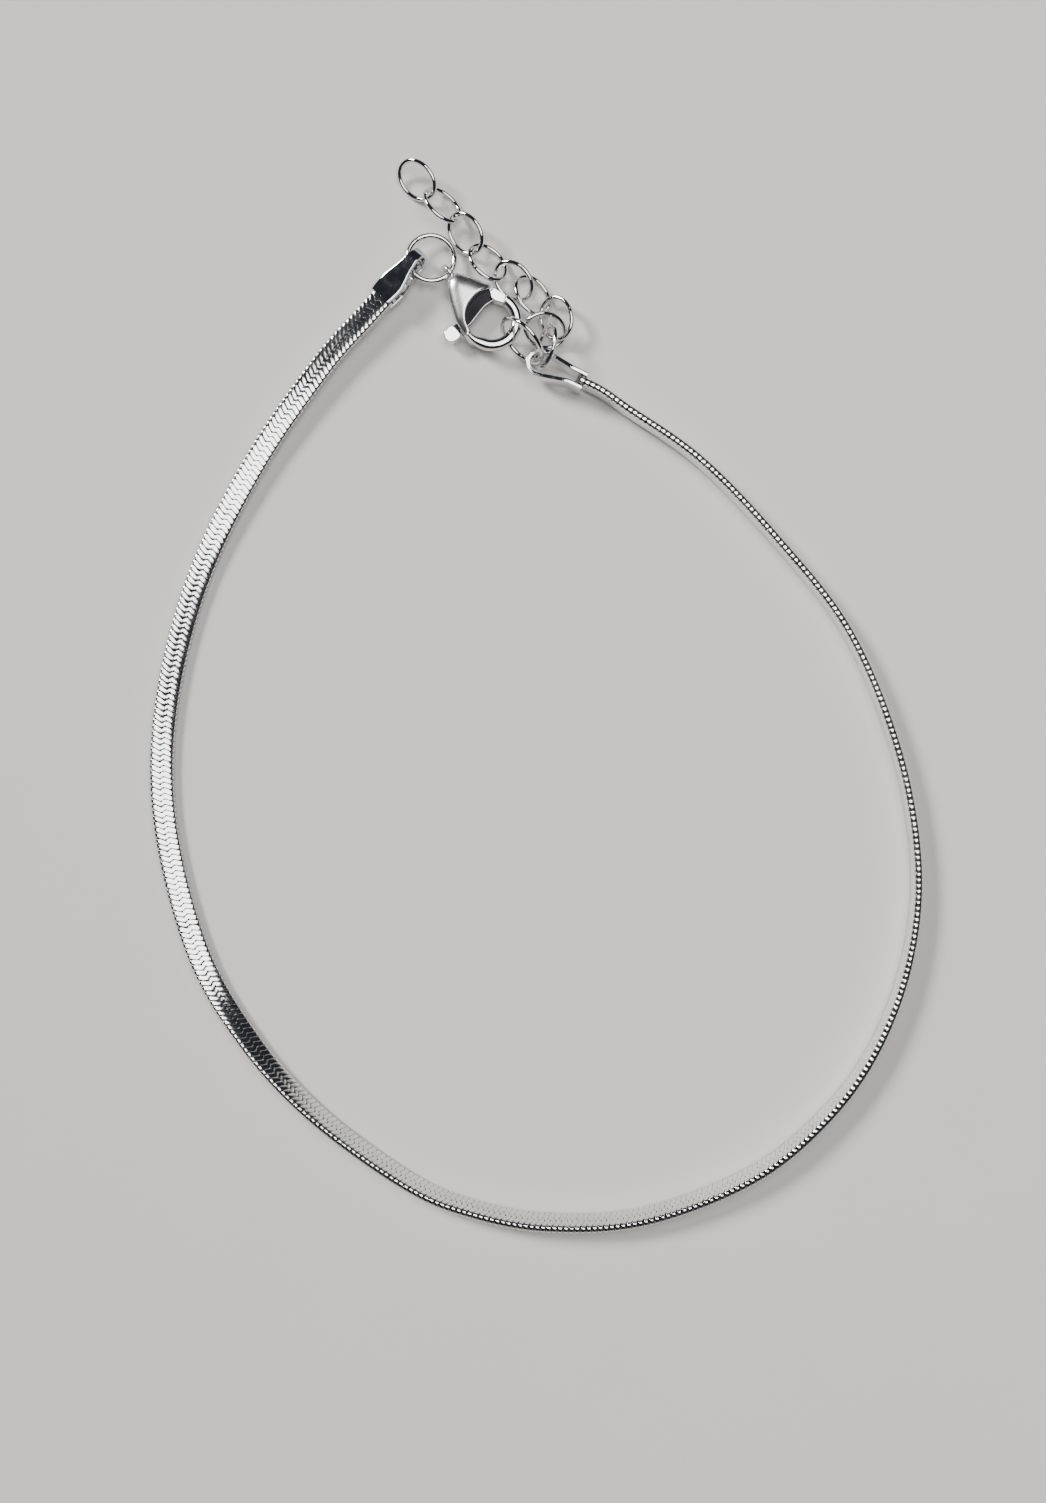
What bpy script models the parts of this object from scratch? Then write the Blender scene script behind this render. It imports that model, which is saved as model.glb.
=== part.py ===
"""Herringbone chain bracelet in silver, lying closed on a table with its extension chain free.

Metres, +Z up. +X is to the right and +Y points away, towards the clasp. The origin is on the table,
under the middle of the bracelet. The chain twists: it lies nearly flat at the left cap and stands on its
inner edge at the right one, with the wide face towards the middle of the loop.
"""
import math

import bmesh
import bpy
from mathutils import Euler, Matrix, Vector

MM = 0.001

# The woven chain
CHAIN_WIDTH = 1.8 * MM
CHAIN_THICKNESS = 0.6 * MM
CHAIN_CORNER = 0.14 * MM
CHAIN_STEPS_PER_SPAN = 4
# Its route, chosen by hand from one cap to the other, anticlockwise seen from above.
# Columns: x and y in mm, lean of the wide face in degrees, height of the inner edge in mm.
CHAIN_ROUTE = [
    (-10.75, 30.07, -8, 1.10),
    (-12.63, 28.00, -6, 1.00),
    (-16.00, 24.20, -2, 0.75),
    (-21.00, 16.90, 8, 0.35),
    (-25.20, 8.20, 19, 0.02),
    (-27.50, -1.30, 19, 0.00),
    (-27.50, -10.00, 12, 0.00),
    (-25.00, -19.50, 16, 0.00),
    (-21.10, -26.10, 35, 0.00),
    (-16.20, -31.40, 54, 0.00),
    (-9.40, -36.30, 59, 0.00),
    (-4.70, -38.30, 60, 0.00),
    (1.00, -39.35, 61, 0.00),
    (8.20, -38.90, 64, 0.00),
    (16.10, -35.90, 70, 0.00),
    (21.60, -31.50, 77, 0.00),
    (25.30, -26.40, 83, 0.00),
    (27.70, -20.00, 87, 0.00),
    (28.40, -13.00, 90, 0.00),
    (27.00, -4.60, 90, 0.00),
    (23.40, 4.30, 89, 0.00),
    (18.00, 11.30, 88, 0.05),
    (12.40, 17.10, 88, 0.22),
    (6.90, 20.95, 89, 0.44),
    (4.93, 22.30, 89, 0.52),
    (2.84, 23.28, 89, 0.57),
]

# The end caps: a strip folded round a loop, its two ends clamping the chain
CAP_STRIP = 0.33 * MM
CAP_LENGTH = 4.7 * MM
CAP_LOOP_RADIUS = 1.11 * MM
CAP_JAW_LENGTH = 1.0 * MM
CAP_WIDTH = 1.9 * MM
# Columns: share of the cap's length from the jaws to the loop, share of the cap's width
CAP_TAPER = [
    (0.00, 0.88),
    (0.28, 1.00),
    (0.42, 0.84),
    (0.54, 0.66),
    (0.72, 0.52),
    (1.00, 0.42),
]
CAP_ARC_POINTS = 14
CAP_SPLITS = 6

# Clearance between pieces that lie in or on each other
FIT = 0.06 * MM

# The larger jump ring, between the left cap and the clasp's eyelet
CLASP_RING_DIAMETER = 3.95 * MM
CLASP_RING_WIRE = 0.44 * MM
CLASP_RING_CENTRE = Vector((-7.72, 32.45, 1.10)) * MM
CLASP_RING_TILT = Euler((math.radians(-3.0), math.radians(4.0), 0.0))

# The lobster clasp lies flat. Its own x runs from the hook to the eyelet, y to the thumb tab's side
CLASP_CENTRE = Vector((-3.13, 27.61, 1.0)) * MM
CLASP_HEADING = math.radians(130.8)
SHELL_THICKNESS = 2.0 * MM
SHELL_EDGE = 0.3 * MM
# The shell thins towards its apex from this x on, down to this share of its thickness
SHELL_TAPER_START = 3.55 * MM
SHELL_TAPER_END = 4.52 * MM
SHELL_APEX_SHARE = 0.55
HOOK_INNER_RADIUS = 1.42 * MM
HOOK_OUTER_RADIUS = 2.28 * MM
HOOK_THICKNESS = 0.9 * MM
# The hook and the gate lie a little above the middle of the shell
HOOK_RISE = 0.46 * MM
HOOK_EDGE = 0.26 * MM
HOOK_NOSE_ANGLE = math.radians(-60.0)
HOOK_ARM_ANGLE = math.radians(100.0)
# The shell's outline from above in mm, from the left arm round the apex to the gate side and back inside
SHELL_OUTLINE = [
    (-0.35, 2.26),
    (0.45, 2.33),
    (1.25, 2.24),
    (2.10, 2.00),
    (3.75, 1.16),
    (4.30, 0.72),
    (4.52, 0.36),
    (4.52, -0.20),
    (4.30, -0.48),
    (3.40, -1.03),
    (2.28, -1.62),
    (2.10, -1.66),
    (1.92, -1.40),
    (2.14, -0.85),
    (2.20, -0.20),
    (2.04, 0.55),
    (1.60, 1.25),
    (0.95, 1.66),
    (0.20, 1.74),
    (-0.30, 1.62),
]
EYELET_DIAMETER = 1.5 * MM
EYELET_WIRE = 0.36 * MM
EYELET_OFFSET = 4.98 * MM

# The lever turns on the pin in a slot half way up the shell
PIN_X = 2.66 * MM
PIN_Y = -0.36 * MM
PIN_RADIUS = 0.3 * MM
PIN_INSET = 0.06 * MM
LEVER_PLATE = 0.5 * MM
SLOT_PLAY = 0.06 * MM
SLOT_X_MIN = 0.62 * MM
SLOT_X_MAX = 3.5 * MM
SLOT_Y_MIN = -3.0 * MM
SLOT_Y_MAX = 3.0 * MM
GATE_THICKNESS = 0.98 * MM
GATE_RISE = 0.20 * MM
GATE_EDGE = 0.1 * MM
TAB_THICKNESS = 0.8 * MM
TAB_EDGE = 0.14 * MM
# The lever's thin plate from above in mm: gate side, hub and tail, with its stem out to the tab
PLATE_OUTLINE = [
    (0.95, -1.62),
    (1.95, -1.42),
    (2.60, -1.12),
    (3.12, -0.80),
    (3.32, -0.36),
    (3.12, 0.08),
    (2.50, 0.62),
    (1.92, 1.32),
    (1.66, 2.10),
    (1.62, 2.75),
    (1.05, 2.75),
    (1.02, 1.95),
    (0.98, 1.30),
    (1.12, 0.60),
    (1.28, -0.30),
    (1.20, -1.05),
]
# The gate that closes the hook, thicker than the plate. Its tip is an arc about the pin, at its reach,
# and the hook's nose stands clear of that arc by the gate's play.
GATE_REACH = 2.52 * MM
GATE_PLAY = 0.06 * MM
GATE_TIP_ANGLES = (math.radians(206.0), math.radians(223.0))
GATE_OUTLINE = [
    (1.30, -1.88),
    (1.80, -1.74),
    (1.74, -1.28),
    (1.40, -1.04),
    (1.00, -1.10),
]
# The thumb tab outside the left arm
TAB_OUTLINE = [
    (0.78, 2.44),
    (1.62, 2.42),
    (1.82, 2.76),
    (1.68, 3.30),
    (1.26, 3.54),
    (0.82, 3.38),
    (0.64, 2.88),
]

# The smaller jump ring, through the hook and the right cap
HOOK_RING_DIAMETER = 4.3 * MM
HOOK_RING_WIRE = 0.38 * MM
HOOK_RING_CENTRE = Vector((-0.89, 25.96, 2.04)) * MM
HOOK_RING_TURN = (-41, -11, 73)

# The extension chain's links, all alike
LINK_LENGTH = 3.55 * MM
LINK_WIDTH = 2.9 * MM
LINK_WIRE = 0.36 * MM
LINK_SIDES = 16
# How each link lies, from the free end to the right cap.
# Columns: x, y and z of its middle in mm, heading, pitch and roll in degrees.
LINK_POSES = [
    (-8.80, 38.42, 1.05, -44, 0, 38),
    (-6.86, 36.50, 1.05, -48, 0, -40),
    (-5.15, 34.34, 1.05, -52, 0, 38),
    (-3.47, 32.20, 0.92, 132, -1, 31),
    (-1.54, 30.77, 0.92, 137, -3, 146),
    (-0.09, 29.69, 0.83, -59, 3, -29),
    (1.67, 27.96, 0.93, 106, 3, 151),
    (0.86, 26.92, 1.30, -17, 26, 28),
    (0.89, 25.70, 1.40, 70, -18, 120),
]

WIRE_RESOLUTION = 1

SILVER = (0.86, 0.86, 0.87)
SATIN_SILVER = (0.72, 0.72, 0.73)


def clear_scene():
    """Removes whatever the file holds."""
    for scene_object in list(bpy.data.objects):
        bpy.data.objects.remove(scene_object, do_unlink=True)


def new_collection(name):
    """Adds a collection to the scene."""
    collection = bpy.data.collections.new(name)
    bpy.context.scene.collection.children.link(collection)
    return collection


def new_material(name, colour, roughness):
    """Makes a metal of one colour."""
    material = bpy.data.materials.new(name)
    material.use_nodes = True
    shader = material.node_tree.nodes["Principled BSDF"]
    shader.inputs["Base Color"].default_value = (*colour, 1.0)
    shader.inputs["Roughness"].default_value = roughness
    shader.inputs["Metallic"].default_value = 1.0
    return material


def add_object(name, mesh, material, collection, parent=None):
    """Makes one named piece from a mesh."""
    piece = bpy.data.objects.new(name, mesh)
    mesh.materials.clear()
    mesh.materials.append(material)
    mesh.shade_smooth()
    mesh.set_sharp_from_angle(angle=math.radians(35.0))
    collection.objects.link(piece)
    piece.parent = parent
    return piece


def curve_to_mesh(curve):
    """Turns curve data into a closed mesh and removes the curve."""
    holder = bpy.data.objects.new("outline", curve)
    bpy.context.scene.collection.objects.link(holder)
    bpy.context.view_layer.update()
    evaluated = holder.evaluated_get(bpy.context.evaluated_depsgraph_get())
    mesh = bpy.data.meshes.new_from_object(evaluated)
    bpy.data.objects.remove(holder, do_unlink=True)
    shape = bmesh.new()
    shape.from_mesh(mesh)
    bmesh.ops.remove_doubles(shape, verts=shape.verts, dist=0.001 * MM)
    bmesh.ops.recalc_face_normals(shape, faces=shape.faces)
    shape.to_mesh(mesh)
    shape.free()
    return mesh


def poly_spline(curve, points, cyclic=True):
    """Adds a straight-sided spline through points."""
    spline = curve.splines.new("POLY")
    spline.points.add(len(points) - 1)
    for spline_point, point in zip(spline.points, points):
        spline_point.co = (*point, 1.0)
    spline.use_cyclic_u = cyclic
    return spline


def plate_mesh(name, outline, thickness):
    """Extrudes a flat outline to both sides of its plane."""
    curve = bpy.data.curves.new(name, "CURVE")
    curve.dimensions = "2D"
    curve.fill_mode = "BOTH"
    curve.extrude = thickness / 2
    curve.render_resolution_u = 0
    poly_spline(curve, [(x, y, 0.0) for x, y in outline])
    return curve_to_mesh(curve)


def smooth_path(points, steps):
    """Reads a smooth curve through points, steps to a span, by Catmull-Rom rule."""
    rows = [Vector(point) for point in points]
    before = rows[0] * 2 - rows[1]
    after = rows[-1] * 2 - rows[-2]
    rows = [before, *rows, after]
    path = []
    for p0, p1, p2, p3 in zip(rows, rows[1:], rows[2:], rows[3:]):
        for step in range(steps):
            t = step / steps
            path.append(
                0.5 * (2 * p1 + (p2 - p0) * t + (2 * p0 - 5 * p1 + 4 * p2 - p3) * t**2
                       + (3 * p1 - p0 - 3 * p2 + p3) * t**3)
            )
    path.append(rows[-2])
    return path


def mm_points(outline):
    """Reads an outline given in mm."""
    return [(x * MM, y * MM) for x, y in outline]


def chain_sections():
    """Middle, lean and heading of the chain at each section."""
    path = smooth_path(CHAIN_ROUTE, CHAIN_STEPS_PER_SPAN)
    sections = []
    for index, row in enumerate(path):
        x, y, lean_degrees, inner_edge = row
        lean = math.radians(lean_degrees)
        height = inner_edge * MM + CHAIN_WIDTH / 2 * math.sin(lean) + CHAIN_THICKNESS / 2 * math.cos(lean)
        before = path[max(index - 1, 0)]
        after = path[min(index + 1, len(path) - 1)]
        heading = math.atan2(after[1] - before[1], after[0] - before[0])
        sections.append((Vector((x * MM, y * MM, height)), lean, heading))
    return sections


def rounded_rectangle(width, height, corner):
    """Outline of a rectangle with each corner cut by one short side."""
    x, y = width / 2, height / 2
    return [
        (x - corner, -y),
        (x, -y + corner),
        (x, y - corner),
        (x - corner, y),
        (-x + corner, y),
        (-x, y - corner),
        (-x, -y + corner),
        (-x + corner, -y),
    ]


def make_chain(material, collection):
    """The woven band, swept along its route and leaning as it goes round."""
    profile_curve = bpy.data.curves.new("chain_profile", "CURVE")
    profile_curve.dimensions = "2D"
    profile_curve.fill_mode = "NONE"
    profile_curve.render_resolution_u = 0
    section = rounded_rectangle(CHAIN_WIDTH, CHAIN_THICKNESS, CHAIN_CORNER)
    poly_spline(profile_curve, [(x, y, 0.0) for x, y in section])
    profile = bpy.data.objects.new("chain_profile", profile_curve)
    collection.objects.link(profile)

    curve = bpy.data.curves.new("chain_route", "CURVE")
    curve.dimensions = "3D"
    curve.twist_mode = "Z_UP"
    curve.bevel_mode = "OBJECT"
    curve.bevel_object = profile
    curve.use_fill_caps = True
    curve.render_resolution_u = 0
    sections = chain_sections()
    spline = poly_spline(curve, [middle for middle, _, _ in sections], cyclic=False)
    for spline_point, (_, lean, _) in zip(spline.points, sections):
        spline_point.tilt = -lean
    mesh = curve_to_mesh(curve)
    bpy.data.objects.remove(profile, do_unlink=True)
    return add_object("herringbone_chain", mesh, material, collection)


def cap_outline():
    """Side view of a cap: the strip's outline from one jaw round the loop to the other.

    The strip's middle line starts at the jaws, opens to the loop and turns round it. The chain's end
    lies between the jaws, with its end face at x = 0.
    """
    half_strip = CAP_STRIP / 2
    jaw = CHAIN_THICKNESS / 2 + FIT + half_strip
    radius = CAP_LOOP_RADIUS - half_strip
    loop_x = CAP_LENGTH - CAP_JAW_LENGTH - CAP_LOOP_RADIUS
    bend_x = 0.12 * CAP_JAW_LENGTH
    reach = math.hypot(loop_x - bend_x, jaw)
    tangent = math.atan2(jaw, bend_x - loop_x) - math.acos(radius / reach)
    middle = [(-CAP_JAW_LENGTH, jaw), (bend_x, jaw)]
    for index in range(CAP_ARC_POINTS + 1):
        angle = tangent * (1 - 2 * index / CAP_ARC_POINTS)
        middle.append((loop_x + radius * math.cos(angle), radius * math.sin(angle)))
    middle += [(bend_x, -jaw), (-CAP_JAW_LENGTH, -jaw)]
    outer, inner = [], []
    for index, (x, y) in enumerate(middle):
        before = Vector(middle[max(index - 1, 0)])
        after = Vector(middle[min(index + 1, len(middle) - 1)])
        along = (after - before).normalized()
        outward = Vector((-along.y, along.x))
        outer.append((x + outward.x * half_strip, y + outward.y * half_strip))
        inner.append((x - outward.x * half_strip, y - outward.y * half_strip))
    return outer + inner[::-1]


def taper(share):
    """Share of the cap's width at a share of its length."""
    for (x0, w0), (x1, w1) in zip(CAP_TAPER, CAP_TAPER[1:]):
        if share <= x1:
            return w0 + (w1 - w0) * (share - x0) / (x1 - x0)
    return CAP_TAPER[-1][1]


def split_lengthwise(mesh, start, end, count):
    """Cuts the mesh across its x axis at even places, so that it can be tapered."""
    shape = bmesh.new()
    shape.from_mesh(mesh)
    for index in range(count + 1):
        bmesh.ops.bisect_plane(
            shape,
            geom=shape.verts[:] + shape.edges[:] + shape.faces[:],
            plane_co=(start + (end - start) * index / count, 0, 0),
            plane_no=(1, 0, 0),
        )
    shape.to_mesh(mesh)
    shape.free()


def make_cap(name, section, outward, material, collection):
    """One end cap, aligned with the chain's end section."""
    middle, lean, heading = section
    mesh = plate_mesh(name, cap_outline(), CAP_WIDTH)
    split_lengthwise(mesh, 0.0, CAP_LENGTH - CAP_JAW_LENGTH - CAP_LOOP_RADIUS, CAP_SPLITS)
    for vertex in mesh.vertices:
        share = (vertex.co.x + CAP_JAW_LENGTH) / CAP_LENGTH
        vertex.co.z *= taper(share)
    cap = add_object(name, mesh, material, collection)
    along = Vector((math.cos(heading), math.sin(heading), 0.0)) * outward
    inward = Vector((-math.sin(heading), math.cos(heading), 0.0))
    width_axis = inward * math.cos(lean) - Vector((0, 0, 1)) * math.sin(lean)
    turn = Matrix((along, width_axis.cross(along), width_axis)).transposed()
    cap.matrix_world = Matrix.Translation(middle) @ turn.to_4x4()
    return cap


def oval_mesh(name, length, width, wire):
    """A closed wire ring, oval or round."""
    curve = bpy.data.curves.new(name, "CURVE")
    curve.dimensions = "3D"
    curve.twist_mode = "Z_UP"
    curve.bevel_depth = wire / 2
    curve.bevel_resolution = WIRE_RESOLUTION
    curve.render_resolution_u = 0
    points = []
    for index in range(LINK_SIDES):
        angle = 2 * math.pi * index / LINK_SIDES
        points.append(((length - wire) / 2 * math.cos(angle), (width - wire) / 2 * math.sin(angle), 0.0))
    poly_spline(curve, points)
    return curve_to_mesh(curve)


def link_turn(heading, pitch, roll):
    """Turn of a link: rolled about its length, then pitched, then turned to its heading."""
    return Euler((math.radians(roll), math.radians(pitch), math.radians(heading)), "XYZ")


def make_ring(name, mesh, centre, turn, material, collection):
    """A ring or link, placed by its middle and turn."""
    ring = add_object(name, mesh, material, collection)
    ring.location = centre
    ring.rotation_euler = turn
    return ring


def boolean(target, tool, operation):
    """Adds one exact Boolean step and hides its tool."""
    step = target.modifiers.new(f"{operation.lower()}_{tool.name}", "BOOLEAN")
    step.operation = operation
    step.solver = "EXACT"
    step.object = tool
    tool.hide_render = True
    tool.display_type = "WIRE"


def bevelled(piece, width, segments):
    """Rounds a piece's sharp edges."""
    bevel = piece.modifiers.new("rounded_edges", "BEVEL")
    bevel.width = width
    bevel.segments = segments
    bevel.limit_method = "ANGLE"
    bevel.angle_limit = math.radians(40.0)


def arc_points(radius, start, end, count):
    """Points on a circle about the origin."""
    angles = [start + (end - start) * index / count for index in range(count + 1)]
    return [(radius * math.cos(angle), radius * math.sin(angle)) for angle in angles]


def make_clasp_body(frame, satin, collection, cutters):
    """The shell, hook and eyelet in one solid, with a slot for the lever and a hole for the pin."""
    mesh = plate_mesh("clasp_body", mm_points(SHELL_OUTLINE), SHELL_THICKNESS)
    split_lengthwise(mesh, SHELL_TAPER_START, SHELL_TAPER_END, 3)
    for vertex in mesh.vertices:
        share = (vertex.co.x - SHELL_TAPER_START) / (SHELL_TAPER_END - SHELL_TAPER_START)
        vertex.co.z *= 1 - (1 - SHELL_APEX_SHARE) * min(max(share, 0.0), 1.0) ** 2
    body = add_object("clasp_body", mesh, satin, collection, frame)
    bevelled(body, SHELL_EDGE, 2)

    # The hook runs from the left arm round the far side to its nose
    turn_end = HOOK_NOSE_ANGLE + 2 * math.pi
    outline = arc_points(HOOK_OUTER_RADIUS, HOOK_ARM_ANGLE, turn_end, 20)
    outline += arc_points(HOOK_INNER_RADIUS, turn_end, HOOK_ARM_ANGLE, 20)
    hook = add_object("hook", plate_mesh("hook", outline, HOOK_THICKNESS), satin, cutters, frame)
    hook.location.z = HOOK_RISE
    bevelled(hook, HOOK_EDGE, 2)
    nose_cut = pin_cylinder("nose_cut", GATE_REACH + GATE_PLAY, SHELL_THICKNESS, 32)
    move_to(nose_cut, cutters, frame)
    boolean(hook, nose_cut, "DIFFERENCE")
    boolean(body, hook, "UNION")

    eyelet_curve = oval_mesh("eyelet", EYELET_DIAMETER, EYELET_DIAMETER, EYELET_WIRE)
    eyelet = add_object("eyelet", eyelet_curve, satin, cutters, frame)
    eyelet.location = (EYELET_OFFSET, 0.0, 0.0)
    eyelet.rotation_euler = (math.radians(90.0), 0.0, 0.0)
    boolean(body, eyelet, "UNION")

    slot_height = LEVER_PLATE + 2 * SLOT_PLAY
    bpy.ops.mesh.primitive_cube_add(size=1.0)
    slot = bpy.context.object
    slot.name = "slot"
    slot.scale = (SLOT_X_MAX - SLOT_X_MIN, SLOT_Y_MAX - SLOT_Y_MIN, slot_height)
    slot.location = ((SLOT_X_MAX + SLOT_X_MIN) / 2, (SLOT_Y_MAX + SLOT_Y_MIN) / 2, 0.0)
    move_to(slot, cutters, frame)
    boolean(body, slot, "DIFFERENCE")

    hole = pin_cylinder("pin_hole", PIN_RADIUS + FIT, SHELL_THICKNESS * 2)
    move_to(hole, cutters, frame)
    boolean(body, hole, "DIFFERENCE")
    return body


def move_to(piece, collection, frame):
    """Puts a primitive into a collection and under the clasp's frame."""
    for old in list(piece.users_collection):
        old.objects.unlink(piece)
    collection.objects.link(piece)
    piece.parent = frame


def pin_cylinder(name, radius, depth, sides=16):
    """An upright cylinder on the pin's axis."""
    bpy.ops.mesh.primitive_cylinder_add(vertices=sides, radius=radius, depth=depth)
    cylinder = bpy.context.object
    cylinder.name = name
    cylinder.location = (PIN_X, PIN_Y, 0.0)
    return cylinder


def make_lever(frame, polished, collection, cutters):
    """The lever: plate on the pin, gate at its tip and thumb tab at its tail. Its origin is on the pin."""
    pivot = Vector((PIN_X, PIN_Y))

    def about_pin(outline):
        return [(x - pivot.x, y - pivot.y) for x, y in mm_points(outline)]

    lever = add_object("clasp_lever", plate_mesh("clasp_lever", about_pin(PLATE_OUTLINE), LEVER_PLATE),
                       polished, collection, frame)
    lever.location = (PIN_X, PIN_Y, 0.0)
    gate_outline = arc_points(GATE_REACH, *GATE_TIP_ANGLES, 4) + about_pin(GATE_OUTLINE)
    for name, outline, thickness, edge, rise in (
        ("gate", gate_outline, GATE_THICKNESS, GATE_EDGE, GATE_RISE),
        ("thumb_tab", about_pin(TAB_OUTLINE), TAB_THICKNESS, TAB_EDGE, 0.0),
    ):
        piece = add_object(name, plate_mesh(name, outline, thickness), polished, cutters, frame)
        piece.location = (PIN_X, PIN_Y, rise)
        bevelled(piece, edge, 1)
        boolean(lever, piece, "UNION")
    hole = pin_cylinder("lever_hole", PIN_RADIUS + FIT, SHELL_THICKNESS * 2)
    move_to(hole, cutters, frame)
    boolean(lever, hole, "DIFFERENCE")
    return lever


def make_pin(frame, polished, collection):
    """The pin that the lever turns on, flush inside the shell."""
    pin = pin_cylinder("clasp_pin", PIN_RADIUS, SHELL_THICKNESS - 2 * PIN_INSET)
    mesh = pin.data
    bpy.data.objects.remove(pin, do_unlink=True)
    pin = add_object("clasp_pin", mesh, polished, collection, frame)
    pin.location = (PIN_X, PIN_Y, 0.0)
    return pin


def main():
    """Builds the bracelet."""
    clear_scene()
    bracelet = new_collection("herringbone_chain_bracelet")
    cutters = new_collection("cutters")
    polished = new_material("polished_silver", SILVER, 0.12)
    satin = new_material("satin_silver", SATIN_SILVER, 0.32)

    make_chain(polished, bracelet)
    sections = chain_sections()
    make_cap("left_end_cap", sections[0], -1, polished, bracelet)
    make_cap("right_end_cap", sections[-1], 1, polished, bracelet)

    ring = oval_mesh("clasp_ring", CLASP_RING_DIAMETER, CLASP_RING_DIAMETER, CLASP_RING_WIRE)
    make_ring("clasp_ring", ring, CLASP_RING_CENTRE, CLASP_RING_TILT, polished, bracelet)

    frame = bpy.data.objects.new("clasp_frame", None)
    bracelet.objects.link(frame)
    frame.location = CLASP_CENTRE
    frame.rotation_euler = (0.0, 0.0, CLASP_HEADING)
    make_clasp_body(frame, satin, bracelet, cutters)
    make_lever(frame, polished, bracelet, cutters)
    make_pin(frame, polished, bracelet)

    ring = oval_mesh("hook_ring", HOOK_RING_DIAMETER, HOOK_RING_DIAMETER, HOOK_RING_WIRE)
    make_ring("hook_ring", ring, HOOK_RING_CENTRE, link_turn(*HOOK_RING_TURN), polished, bracelet)

    for number, (x, y, z, heading, pitch, roll) in enumerate(LINK_POSES, 1):
        name = f"extension_link_{number}"
        link = oval_mesh(name, LINK_LENGTH, LINK_WIDTH, LINK_WIRE)
        make_ring(name, link, Vector((x, y, z)) * MM, link_turn(heading, pitch, roll), polished, bracelet)


main()
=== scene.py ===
"""Looks of a silver herringbone chain bracelet: woven links, folded end caps, rings and lobster clasp.

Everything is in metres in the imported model's frame, with +Z up from the floor, except where mm are named.
"""

from __future__ import annotations

import logging
import math
from dataclasses import dataclass, field
from enum import Enum
from typing import Sequence

import bmesh
import bpy
import numpy as np
from mathutils import Euler, Matrix, Vector

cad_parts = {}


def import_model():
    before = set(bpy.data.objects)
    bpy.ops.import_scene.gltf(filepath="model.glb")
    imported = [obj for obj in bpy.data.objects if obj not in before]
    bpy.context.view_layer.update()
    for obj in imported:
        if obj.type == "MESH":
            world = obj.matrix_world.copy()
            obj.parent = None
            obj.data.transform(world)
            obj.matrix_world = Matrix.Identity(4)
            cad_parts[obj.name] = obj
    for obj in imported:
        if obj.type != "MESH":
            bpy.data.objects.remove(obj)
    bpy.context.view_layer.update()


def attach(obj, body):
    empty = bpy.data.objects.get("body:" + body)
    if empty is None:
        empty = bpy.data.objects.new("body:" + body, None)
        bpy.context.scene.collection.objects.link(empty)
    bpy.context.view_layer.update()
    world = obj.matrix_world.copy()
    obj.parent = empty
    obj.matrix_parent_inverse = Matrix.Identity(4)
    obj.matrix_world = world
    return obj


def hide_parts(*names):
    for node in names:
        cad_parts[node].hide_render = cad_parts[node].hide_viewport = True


log = logging.getLogger("bracelet")

MM = 0.001
IMAGE_SIZE = (1046, 1503)
UP = np.array([0.0, 0.0, 1.0])

Colour = tuple[float, float, float, float]
Faces = list[tuple[int, ...]]
Pairs = Sequence[tuple[float, float]]
Piece = bpy.types.Object
Material = bpy.types.Material
Rounding = tuple[float, int]  # a section's power and points, or a bevel's width and faces

# The chain's route, one row a place: x and y in mm, lean of the wide face in degrees and
# height of the inner edge in mm
CHAIN_ROUTE = [
    (-10.75, 30.07, -8, 1.10),
    (-12.63, 28.00, -6, 1.00),
    (-16.00, 24.20, -2, 0.75),
    (-21.00, 16.90, 8, 0.35),
    (-25.20, 8.20, 19, 0.02),
    (-27.50, -1.30, 19, 0.00),
    (-27.50, -10.00, 12, 0.00),
    (-25.00, -19.50, 16, 0.00),
    (-21.10, -26.10, 35, 0.00),
    (-16.20, -31.40, 54, 0.00),
    (-9.40, -36.30, 59, 0.00),
    (-4.70, -38.30, 60, 0.00),
    (1.00, -39.35, 61, 0.00),
    (8.20, -38.90, 64, 0.00),
    (16.10, -35.90, 70, 0.00),
    (21.60, -31.50, 77, 0.00),
    (25.30, -26.40, 83, 0.00),
    (27.70, -20.00, 87, 0.00),
    (28.40, -13.00, 90, 0.00),
    (27.00, -4.60, 90, 0.00),
    (23.40, 4.30, 89, 0.00),
    (18.00, 11.30, 88, 0.05),
    (12.40, 17.10, 88, 0.22),
    (6.90, 20.95, 89, 0.44),
    (4.93, 22.30, 89, 0.52),
    (2.84, 23.28, 89, 0.57),
]

# The rings: full length, full width and wire in mm, middle in mm, roll, pitch and heading in degrees,
# and where the seam lies, in radians
RINGS = (
    ("clasp_ring", (3.95, 3.95, 0.44), (-7.72, 32.45, 1.10), (-3, 4, 0), 2.2),
    ("hook_ring", (4.3, 4.3, 0.38), (-0.89, 25.96, 2.04), (73, -11, -41), 1.2),
)
LINK_SIZE = (3.55, 2.9, 0.36)
LINK_SEAM = 1.45

# How each extension link lies: x, y and z of its middle in mm, heading, pitch and roll in degrees
LINK_POSES = [
    (-8.80, 38.42, 1.05, -44, 0, 38),
    (-6.86, 36.50, 1.05, -48, 0, -40),
    (-5.15, 34.34, 1.05, -52, 0, 38),
    (-3.47, 32.20, 0.92, 132, -1, 31),
    (-1.54, 30.77, 0.92, 137, -3, 146),
    (-0.09, 29.69, 0.83, -59, 3, -29),
    (1.67, 27.96, 0.93, 106, 3, 151),
    (0.86, 26.92, 1.30, -17, 26, 28),
    (0.89, 25.70, 1.40, 70, -18, 120),
]


class Slot(str, Enum):
    """The record's material slots."""

    POLISHED = "polished_silver"
    SATIN = "satin_silver"


class Body(str, Enum):
    """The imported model's moving bodies."""

    BRACELET = "bracelet"
    LEVER = "lever"


class LightKind(str, Enum):
    """The studio's kinds of light."""

    SOFTBOX = "AREA"
    FAR = "SUN"


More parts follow.
